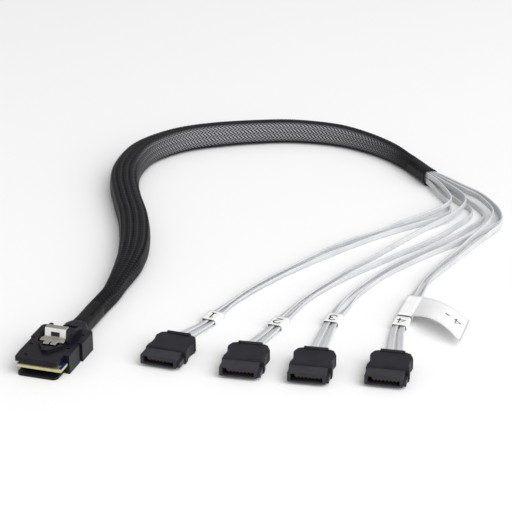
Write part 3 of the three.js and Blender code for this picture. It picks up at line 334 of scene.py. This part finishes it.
# each ribbon: its row and column in the sleeve, then its stops from the breakout on
ribbon_routes = {
    "1a": (1, 0, [
        (77.6, 68.8, 4, 90), (80.9, 60, 3.2, 90), (82.5, 52.9, 2.8, 90), (82.3, 48.4, 2.8, 90),
        (79.4, 42.6, 2.8, 90), (74.6, 38, 2.4, 90), (68.4, 34.4, 1.5, 90), (59.5, 29.6, LOW, 88),
        (50.8, 21, LOW, 84), (39.5, 12.8, LOW, 76), (28.3, 2.8, LOW, 68), (21.3, -4.9, LOW, 64),
        (13.1, -14.5, LOW, 60), (4.1, -25.2, LOW, 54), (-4.7, -36.9, LOW, 46), (-9.8, -45.2, LOW, 40)]),
    "1b": (0, 0, [
        (76.3, 69, 1.4, 90), (77.8, 63.4, 0.7, 90), (80.8, 53.8, LOW, 90), (81.8, 47.8, LOW, 90),
        (81.2, 41.4, LOW, 90), (76.6, 35.7, LOW, 90), (71.5, 31.9, LOW, 90), (59.1, 23.6, LOW, 88),
        (50.6, 17.2, LOW, 84), (39.2, 7.4, LOW, 76), (28.6, -2.9, LOW, 68), (21.2, -10.1, LOW, 64),
        (13, -18.8, LOW, 60), (4, -29.4, LOW, 54), (-4.7, -41, LOW, 46), (-9.6, -48.6, LOW, 40)]),
    "2a": (1, 1, [
        (79, 69, 4.2, 90), (82.9, 63.8, 3.5, 90), (86.7, 57.8, 2.9, 90), (88.5, 52.1, 2.8, 90),
        (88.4, 47.4, 2.8, 90), (87, 42.8, 2.8, 90), (84.4, 37.9, 2.6, 90), (80.4, 33, 2.1, 90),
        (76, 29.6, 1.2, 90), (70.6, 25.6, 0.3, 90), (58.1, 10.4, LOW, 86), (44.5, -6.9, LOW, 76),
        (38.1, -14.2, LOW, 70), (28.6, -27, LOW, 62), (22.5, -35.3, LOW, 54), (16.5, -44.1, LOW, 46),
        (12.4, -51.6, LOW, 40)]),
    "2b": (0, 1, [
        (78, 70, 1.5, 90), (80.4, 65.4, 0.9, 90), (83.4, 59.4, LOW, 90), (87.2, 51.4, LOW, 90),
        (89.8, 47.2, LOW, 90), (90.7, 43.2, LOW, 90), (90.2, 39.3, LOW, 90), (88.2, 34.7, LOW, 90),
        (82.9, 27.3, LOW, 90), (77.7, 19.9, LOW, 90), (66.5, 7.5, LOW, 88), (56.2, -2.2, LOW, 82),
        (44.1, -14.2, LOW, 76), (34.6, -24.2, LOW, 68), (25.4, -35.3, LOW, 58), (18.6, -45.4, LOW, 48),
        (14.4, -53.6, LOW, 40)]),
    "3a": (0, 2, [
        (79.6, 71, 1.6, 90), (82.8, 66.6, 0.9, 90), (86.6, 61.8, LOW, 90), (89.8, 55.4, LOW, 90),
        (92.7, 49, LOW, 90), (94.9, 42.7, LOW, 90), (95.1, 37.2, LOW, 90), (93.1, 31.9, LOW, 90),
        (88.6, 25.8, LOW, 90), (83.5, 19.1, LOW, 90), (75.4, 10.4, LOW, 90), (66.6, 1.2, LOW, 86),
        (57.2, -8.4, LOW, 80), (49.8, -17.5, LOW, 74), (43, -27, LOW, 66), (36.8, -36.7, LOW, 56),
        (33, -43.6, LOW, 48), (30.4, -49.4, LOW, 40)]),
    "3b": (0, 3, [
        (81.4, 72.2, 1.6, 90), (86, 69, 1, 90), (91, 65.4, 0.4, 90), (95.6, 60.4, LOW, 90),
        (99.7, 51.4, LOW, 90), (101.9, 42.7, LOW, 90), (102.2, 37.2, LOW, 90), (100.4, 31.1, LOW, 90),
        (95.9, 25.1, LOW, 90), (90.8, 19.1, LOW, 90), (84.2, 12.5, LOW, 90), (77.9, 6.8, LOW, 90),
        (70.1, -0.3, LOW, 88), (62.8, -7.6, LOW, 84), (56, -14.9, LOW, 80), (49.7, -22.3, LOW, 74),
        (43.7, -31.4, LOW, 66), (37.8, -41.4, LOW, 54), (34.4, -49.6, LOW, 40)]),
    "4a": (1, 2, [
        (81.4, 68.6, 4.2, 90), (88.4, 60.2, 3.4, 90), (93.8, 53.6, 2.9, 90), (97.3, 44.2, 2.8, 90),
        (98.5, 37.9, 2.8, 90), (98, 32.4, 2.8, 90), (95.5, 25, 2.8, 90), (91.2, 17.2, 2.6, 90),
        (86.6, 10.6, 1.7, 90), (81.8, 3.6, 0.5, 90), (76.5, -4.7, LOW, 84), (70.6, -14.6, LOW, 76),
        (64.6, -26, LOW, 68), (61.4, -33.8, LOW, 50)]),
    "4b": (1, 3, [
        (82.2, 70.4, 4.2, 90), (89.6, 62, 3.4, 90), (95.3, 55.2, 2.9, 90), (99.4, 45, 2.8, 90),
        (101.4, 36, 2.8, 90), (101.4, 28.8, 2.5, 90), (99.8, 23.6, 1.8, 90), (97, 20.2, 1.1, 90),
        (92.6, 14.7, 0.3, 90), (85.6, 3.9, LOW, 90), (79.8, -5.5, LOW, 84), (73.4, -15.8, LOW, 76),
        (66.9, -26.6, LOW, 68), (63.8, -34.6, LOW, 50)]),
}

trunk_stops = [(behind_plug(CABLE_ACROSS, 27.1, TIGHT_Z), *TIGHT)] + sleeve_stops


def along_band(heading):
    """The level directions along a marker band, towards its small plug, and across it to the left."""
    ahead = np.array([math.cos(math.radians(heading)), math.sin(math.radians(heading)), 0])
    return ahead, np.array([-ahead[1], ahead[0], 0])


def ribbon_line(name):
    """The whole line of one ribbon, from the large plug to its small plug, with its roll."""
    row, column, free = ribbon_routes[name]
    line, ways, sizes = smooth_line(trunk_stops, 1)
    wide = section_axes(ways, np.zeros(len(line)))[0]
    held = line + wide * ((column - 1.5) * sizes[:, 3] / 1000)[:, None]
    held[:, 2] += (row - 0.5) * (RIBBON_WIDE + 0.25) / 1000
    held_stops = [(point, 90) for point in held]
    number, side = int(name[0]), 1 if name[1] == "a" else -1
    x, y, heading = BANDS[number - 1]
    ahead, left = along_band(heading)
    ends = []
    # through the band, and for the fourth pair through the label behind it too
    for along in (-22.7 if number == 4 else -4.2, 4.2):
        spot = np.array([x, y, 0]) + ahead * along - side * left * BAND_SPACING / 2
        ends.append(ribbon_stop(spot[0], spot[1], LOW + 0.45, BAND_ROLL))
    ends += [(behind_plug(0.5 - side * 1.75, back, z, SMALL_PLUGS[number - 1]), 0)
             for back, z in ((23.5, 1.9), (16.8, 2.5))]
    loose = [held_stops[-1], *[ribbon_stop(*stop) for stop in free], *ends]
    first, last = smooth_line(held_stops, 4), smooth_line(loose, 6)
    return [np.concatenate([a, b[1:]]) for a, b in zip(first, last)]


# the section of a ribbon: two round wires side by side with a shallow groove between them
around = np.arange(24) * math.pi / 12
ribbon_across = RIBBON_WIDE / 2 * np.sign(np.cos(around)) * np.abs(np.cos(around)) ** 0.62
ribbon_up = RIBBON_THICK / 2 * np.sign(np.sin(around)) * np.abs(np.sin(around)) ** 0.5
ribbon_up *= 1 - 0.2 * np.exp(-(ribbon_across / 0.25) ** 2)

ribbon_white = plastic("ribbon_white", (0.54, 0.545, 0.565), (0.62, 0.625, 0.64), 0.36, 0.011, 0.0011, 0.00002,
                       gloss=0.4)
ribbons = {}
for name in ribbon_routes:
    line, ways, rolls = ribbon_line(name)
    wide, up = section_axes(ways, rolls[:, 0])
    loops = line[:, None] + (wide[:, None] * ribbon_across[:, None] + up[:, None] * ribbon_up[:, None]) / 1000
    sides = len(around)
    last = (len(line) - 1) * sides
    ends = [tuple(range(sides))[::-1], tuple(last + k for k in range(sides))]
    ribbon = make_piece("flat_" + name, loops.reshape(-1, 3), skin_faces(len(line), sides) + ends, ribbon_white)
    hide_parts("ribbon_" + name)
    ribbons[name] = ribbon, line

# Heat-shrink: two short black tubes shrunk on while hot. One holds the sleeve on the collar's neck behind
# the large plug, the other closes the sleeve at the breakout. They draw in a little over what lies under them.


def tube_piece(name, line, widths, heights, corner, wall, material, way, sides=48):
    """A tube with a rounded section and open ends that runs along a line of points."""
    wide, up = section_axes(way, np.zeros(len(line)))
    shares = np.arange(sides) / sides
    outer, inner = [], []
    for spot, w, h, a, b in zip(line, widths, heights, wide, up):
        edge, outward = rounded_outline(w, h, corner, shares)
        outer.append(spot + edge @ np.vstack([a, b]) / 1000)
        inner.append(spot + (edge - outward * wall) @ np.vstack([a, b]) / 1000)
    loops = np.array(outer + inner[::-1])
    return make_piece(name, loops.reshape(-1, 3), skin_faces(len(loops), sides, closed=True), material)


shrink_black = plastic("shrink_black", (0.003, 0.003, 0.004), (0.007, 0.007, 0.008), 0.5, 0.006, 0.0008, 0.0001,
                       gloss=0.16)


def shrink_tube(name, start, end, swell):
    """Heat-shrink from start to end; swell is how the width changes along it, in mm at even steps."""
    share = np.linspace(0, 1, 33)
    line = start + (end - start) * share[:, None]
    way = np.tile((end - start) / np.linalg.norm(end - start), (len(share), 1))
    change = np.interp(share, np.linspace(0, 1, len(swell)), swell)
    return tube_piece(name, line, 6.3 + change, 6.95 + change, 2.6, 0.28, shrink_black, way)


boot_start = behind_plug(CABLE_ACROSS, 33.1, TIGHT_Z)
boot_way = boot_neck - boot_start
boot = shrink_tube("boot", boot_start, boot_start + boot_way / np.linalg.norm(boot_way) * 0.016,
                   (0.25, 0.15, 0, -0.1, -0.05, -0.1, -0.05, 0.05, -0.1))
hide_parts("boot_shrink")
breakout_way = breakout_neck - sleeve_end
breakout_way /= np.linalg.norm(breakout_way)
breakout = shrink_tube("breakout", sleeve_end + breakout_way * 0.0145, sleeve_end - breakout_way * 0.0015,
                       (-0.05, -0.1, -0.05, -0.1, 0, 0.05, 0.1, 0.2, 0.4))
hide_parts("breakout_shrink")

# Marker bands: short sleeves of white tape round each pair of ribbons, each printed with its number.
# The numbers stand with their tops towards the small plugs.
BAND_WIDE, BAND_HIGH = 6.2, 2.52
band_white = plastic("band_white", (0.78, 0.78, 0.775), (0.84, 0.84, 0.835), 0.5, 0.003, 0.0006, 0.00002)
ink = plastic("ink", (0.02, 0.019, 0.02), (0.04, 0.038, 0.04), 0.6, 0.0006, 0.0002, 0.00001, gloss=0.3)


def curve_round(cx, cy, rx, ry, start, stop):
    """Points of a round stroke between two angles."""
    angles = np.radians(np.linspace(start, stop, 9))
    return [(cx + rx * math.cos(a), cy + ry * math.sin(a)) for a in angles]


# strokes of the numerals, on a field one wide and one high
NUMERALS = {
    1: [[(0.2, 0.78), (0.52, 1), (0.52, 0)], [(0.25, 0), (0.8, 0)]],
    2: [curve_round(0.5, 0.7, 0.42, 0.3, 170, -38) + [(0.08, 0), (0.95, 0)]],
    3: [curve_round(0.48, 0.75, 0.38, 0.25, 160, -90), curve_round(0.48, 0.26, 0.44, 0.26, 90, -160)],
    4: [[(0.72, 0), (0.72, 1), (0.02, 0.32), (1, 0.32)]],
}


def printed(name, strokes, place, up, pen=0.00056):
    """Printed strokes: flat closed strips of ink that follow a surface; place turns a stroke's point into one."""
    points, faces = [], []
    for stroke in strokes:
        path = np.array([place(u, v) for u, v in stroke])
        along = np.gradient(path, axis=0)
        side = np.cross(along, up)
        side = side / np.linalg.norm(side, axis=1)[:, None] * pen / 2
        lift = np.array(up) * 0.00003
        loops = np.stack([path - side - lift, path + side - lift, path + side + lift, path - side + lift], axis=1)
        start, last = len(points), len(points) + (len(path) - 1) * 4
        points += loops.reshape(-1, 3).tolist()
        faces += skin_faces(len(path), 4, start)
        faces += [(start + 3, start + 2, start + 1, start), (last, last + 1, last + 2, last + 3)]
    return make_piece(name, points, faces, ink)


band_pieces = []
for number, (x, y, heading) in enumerate(BANDS, 1):
    ahead, left = along_band(heading)
    middle = on_table(x, y, LOW + BAND_HIGH / 2)
    share = np.linspace(-3.5, 3.5, 9)
    line = middle + ahead * share[:, None] / 1000
    slack = 0.1 * np.cos(share * 0.9) - 0.04
    band = tube_piece(f"band_{number}", line, BAND_WIDE + slack, BAND_HIGH - slack * 0.4, 0.95, 0.25, band_white,
                      np.tile(ahead, (9, 1)))
    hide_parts(f"marker_band_{number}")
    top = middle + ahead * 0.0003 + np.array([0, 0, BAND_HIGH / 2000 + 0.00002])
    numeral = printed(f"numeral_{number}", NUMERALS[number],
                      lambda u, v: top + ahead * (v - 0.5) * 0.004 - left * (u - 0.5) * 0.0031, (0, 0, 1))
    band_pieces.append((band, numeral))

# Paper label: a strip of white paper wrapped round the fourth pair behind its band. Its two free halves are
# stuck together as a flag, which leaves the wrap level, bulges up a little and droops to its tip.
paper_white = plastic("paper_white", (0.8, 0.8, 0.795), (0.85, 0.85, 0.845), 0.8, 0.005, 0.0004, 0.00002)
LABEL_BACK, LABEL_FRONT = -22, -4.5
x, y, heading = BANDS[3]
ahead, left = along_band(heading)
wrap_share = np.linspace(LABEL_BACK, LABEL_FRONT, 12)
wrap_line = on_table(x, y, LOW + BAND_HIGH / 2 + 0.1) + ahead * wrap_share[:, None] / 1000
wrap = tube_piece("label_wrap", wrap_line, np.full(12, BAND_WIDE + 0.1), np.full(12, BAND_HIGH + 0.2), 1.25, 0.25,
                  paper_white, np.tile(ahead, (12, 1)))
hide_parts("flag_label")
flag_root = [on_table(x, y, BAND_HIGH - 0.05) + ahead * s / 1000 + left * 0.0024 for s in (LABEL_BACK, LABEL_FRONT)]
flag_tip = [on_table(77.7, -64.2, 2.6), on_table(72.5, -80.9, 2.6)]


def flag_point(out, along, lift=0):
    """A point of the flag: out from 0 at the wrap to 1 at the tip, along from 0 at the back to 1 at the front."""
    root = flag_root[0] * (1 - along) + flag_root[1] * along
    tip = flag_tip[0] * (1 - along) + flag_tip[1] * along
    bulge = (2 + 1.4 * along) * 4 * out * (1 - out)
    return root * (1 - out) + tip * out + np.array([0, 0, bulge / 1000 + lift])


OUT_STEPS, ALONG_STEPS = 25, 9
sheets = [[flag_point(out, along, lift) for out in np.linspace(0, 1, OUT_STEPS)
           for along in np.linspace(0, 1, ALONG_STEPS)] for lift in (0.00012, -0.00012)]
index = np.arange(OUT_STEPS * ALONG_STEPS).reshape(OUT_STEPS, ALONG_STEPS)
below = index + OUT_STEPS * ALONG_STEPS
top_faces = np.stack([index[:-1, :-1], index[:-1, 1:], index[1:, 1:], index[1:, :-1]], axis=2).reshape(-1, 4)
under_faces = np.stack([below[:-1, :-1], below[1:, :-1], below[1:, 1:], below[:-1, 1:]], axis=2).reshape(-1, 4)
rim = np.concatenate([index[0, :], index[1:, -1], index[-1, -2::-1], index[-2:0:-1, 0]])
after = np.roll(rim, -1)
rim_faces = np.column_stack([after, rim, rim + index.size, after + index.size])
make_piece("label_flag", np.vstack(sheets), np.vstack([top_faces[:, ::-1], under_faces[:, ::-1], rim_faces]),
           paper_white)
printed("label_number", NUMERALS[4] + [[(1.75, 0.4), (2.35, 0.4)]],
        lambda u, v: flag_point(0.9 - 0.13 * u, 0.34 + 0.22 * v, 0.00015), (0, 0, 1), pen=0.0005)

# Large plug: a housing and a lower cover moulded in black plastic, with the printed card between them.
# The card has a dark blue mask, bare edges of cream board, and gold pads near its front edge.
nodes = frame["nodes"]


def dress(node, material):
    """Gives a CAD node its material."""
    nodes[node].data.materials.clear()
    nodes[node].data.materials.append(material)


def step_of(material, source, output, limit, above=True):
    """A node output that is 1 where a coordinate lies above a limit (or below it), and 0 elsewhere."""
    tree = material.node_tree
    parts = tree.nodes.new("ShaderNodeSeparateXYZ")
    tree.links.new(source, parts.inputs[0])
    test = tree.nodes.new("ShaderNodeMath")
    test.operation = "GREATER_THAN" if above else "LESS_THAN"
    test.inputs[1].default_value = limit
    tree.links.new(parts.outputs[output], test.inputs[0])
    return test.outputs[0]


plug_black = plastic("plug_black", (0.004, 0.004, 0.007), (0.008, 0.008, 0.012), 0.42, 0.005, 0.00025, 0.000015,
                     gloss=0.19, edge=0.00022)
dress("plug_housing", plug_black)
dress("plug_tongue", plug_black)
board = plastic("board", (0.42, 0.415, 0.22), (0.5, 0.49, 0.28), 0.4, 0.002, 0.0003, 0.00001, edge=0.0001)
MASK_START, PADS_ABOVE, PADS_BELOW = 1.05, 4.14, 3.06
PAD_SHADE = (0.3, 0.2, 0.06)
in_plug = board.node_tree.nodes.new("ShaderNodeMapping")
in_plug.vector_type = "TEXTURE"
in_plug.inputs["Location"].default_value = on_table(*LARGE_PLUG[:2], 0)
in_plug.inputs["Rotation"].default_value = (0, 0, -math.radians(LARGE_PLUG[2]))
in_plug.inputs["Scale"].default_value = (0.001, 0.001, 0.001)
board_place = board.node_tree.nodes.new("ShaderNodeTexCoord")
board.node_tree.links.new(board_place.outputs["Object"], in_plug.inputs["Vector"])
board_faces = board.node_tree.nodes.new("ShaderNodeNewGeometry")
upward = step_of(board, board_faces.outputs["Normal"], "Z", 0.5)
masked = step_of(board, in_plug.outputs["Vector"], "Y", MASK_START)
covered = board.node_tree.nodes.new("ShaderNodeMath")
covered.operation = "MULTIPLY"
board.node_tree.links.new(upward, covered.inputs[0])
board.node_tree.links.new(masked, covered.inputs[1])
add_shade(board, covered.outputs[0], (0.012, 0.02, 0.11))
add_shade(board, step_of(board, in_plug.outputs["Vector"], "Z", PADS_ABOVE), PAD_SHADE)
add_shade(board, step_of(board, in_plug.outputs["Vector"], "Z", PADS_BELOW, above=False), PAD_SHADE)
dress("paddle_card", board)

# Latch: one plate of sheet steel, stamped with two teeth and a window and bent up into a tab for the finger.
# It sits on the housing's pedestal. The tab is bright, and its faces that point up are painted darker, as painted
# shade.
latch_steel = plastic("latch_steel", (0.8, 0.79, 0.77), (0.92, 0.91, 0.89), 0.3, 0.003, 0.0002, 0.00001,
                      edge=0.0001)
latch_steel.node_tree.nodes["Principled BSDF"].inputs["Metallic"].default_value = 0.6
latch_faces = latch_steel.node_tree.nodes.new("ShaderNodeNewGeometry")
# painted shade: faces that point up take a darker grey than the rest of the plate
add_shade(latch_steel, step_of(latch_steel, latch_faces.outputs["Normal"], "Z", 0.6), (0.34, 0.32, 0.28))
dress("latch_plate", latch_steel)

# Collar: the charcoal strain relief that is moulded on behind the housing, softer than the housing itself.
# The ribbons leave through its neck, which the boot covers.
grip_charcoal = plastic("grip_charcoal", (0.008, 0.008, 0.012), (0.014, 0.014, 0.019), 0.55, 0.006, 0.0002,
                        0.00002, gloss=0.25, edge=0.0003)
dress("strain_relief", grip_charcoal)

# Small plugs: a dark grey nose of stiff plastic with an L-shaped slot and seven gold-plated spring contacts,
# and a charcoal grip, which is moulded round its tail and the ends of two ribbons.
nose_grey = plastic("nose_grey", (0.017, 0.017, 0.023), (0.026, 0.026, 0.034), 0.42, 0.006, 0.0003, 0.000015,
                    gloss=0.25, edge=0.00012)
# the gold of the contacts is painted dark, as painted shade of the slots they lie in
contact_gold = plastic("contact_gold", (0.075, 0.053, 0.026), (0.115, 0.08, 0.038), 0.35, 0.002, 0.0003, 0.00001)
contact_gold.node_tree.nodes["Principled BSDF"].inputs["Metallic"].default_value = 1
for number in range(1, 5):
    dress(f"sata_housing_{number}", nose_grey)
    dress(f"sata_overmould_{number}", grip_charcoal)
    for k in range(1, 8):
        dress(f"sata_contact_{number}_{k}", contact_gold)

# Cords: the sleeve is stiff and runs from the large plug's collar to the breakout. The eight ribbons run on
# inside it and past it, each to its own small plug. Here each ribbon's small plug, contacts and band are only
# gathered into a list, which nothing uses.
for name, (ribbon, line) in ribbons.items():
    number = int(name[0])
    parts = [nodes[f"sata_housing_{number}"], nodes[f"sata_overmould_{number}"]]
    parts += [nodes[f"sata_contact_{number}_{k}"] for k in range(1, 8)]
    parts += band_pieces[number - 1]

# Table: a plain pale board to lie on. One large soft light stands at the front right, and an even white room
# gives the rest.
table_mesh = bpy.data.meshes.new("table")
table_mesh.from_pydata([(-3, -3, 0), (3, -3, 0), (3, 3, 0), (-3, 3, 0)], [], [(0, 1, 2, 3)])
table_mesh.materials.append(plastic("table_white", (0.88, 0.88, 0.88), (0.9, 0.9, 0.9), 0.9, 0.5, 0.01, 0.00001,
                                    gloss=0.2))
table = bpy.data.objects.new("table", table_mesh)
bpy.context.collection.objects.link(table)
world = bpy.data.worlds.new("room")
world.use_nodes = True
world.node_tree.nodes["Background"].inputs["Color"].default_value = (1, 1, 1, 1)
world.node_tree.nodes["Background"].inputs["Strength"].default_value = 0.5
bpy.context.scene.world = world
bpy.context.scene.view_settings.view_transform = "Standard"


def softbox(name, place, aim, size, power):
    """A square soft light that faces the point it is aimed at."""
    light = bpy.data.lights.new(name, "AREA")
    light.size, light.energy = size, power
    lamp = bpy.data.objects.new(name, light)
    bpy.context.collection.objects.link(lamp)
    lamp.location = place
    way = np.array(place) - np.array(aim)
    lamp.rotation_euler = (math.acos(way[2] / np.linalg.norm(way)), 0, math.atan2(way[1], way[0]) + math.pi / 2)


softbox("key", (1.3, -1.5, 1.7), (0, 0.05, 0), 3.2, 98)
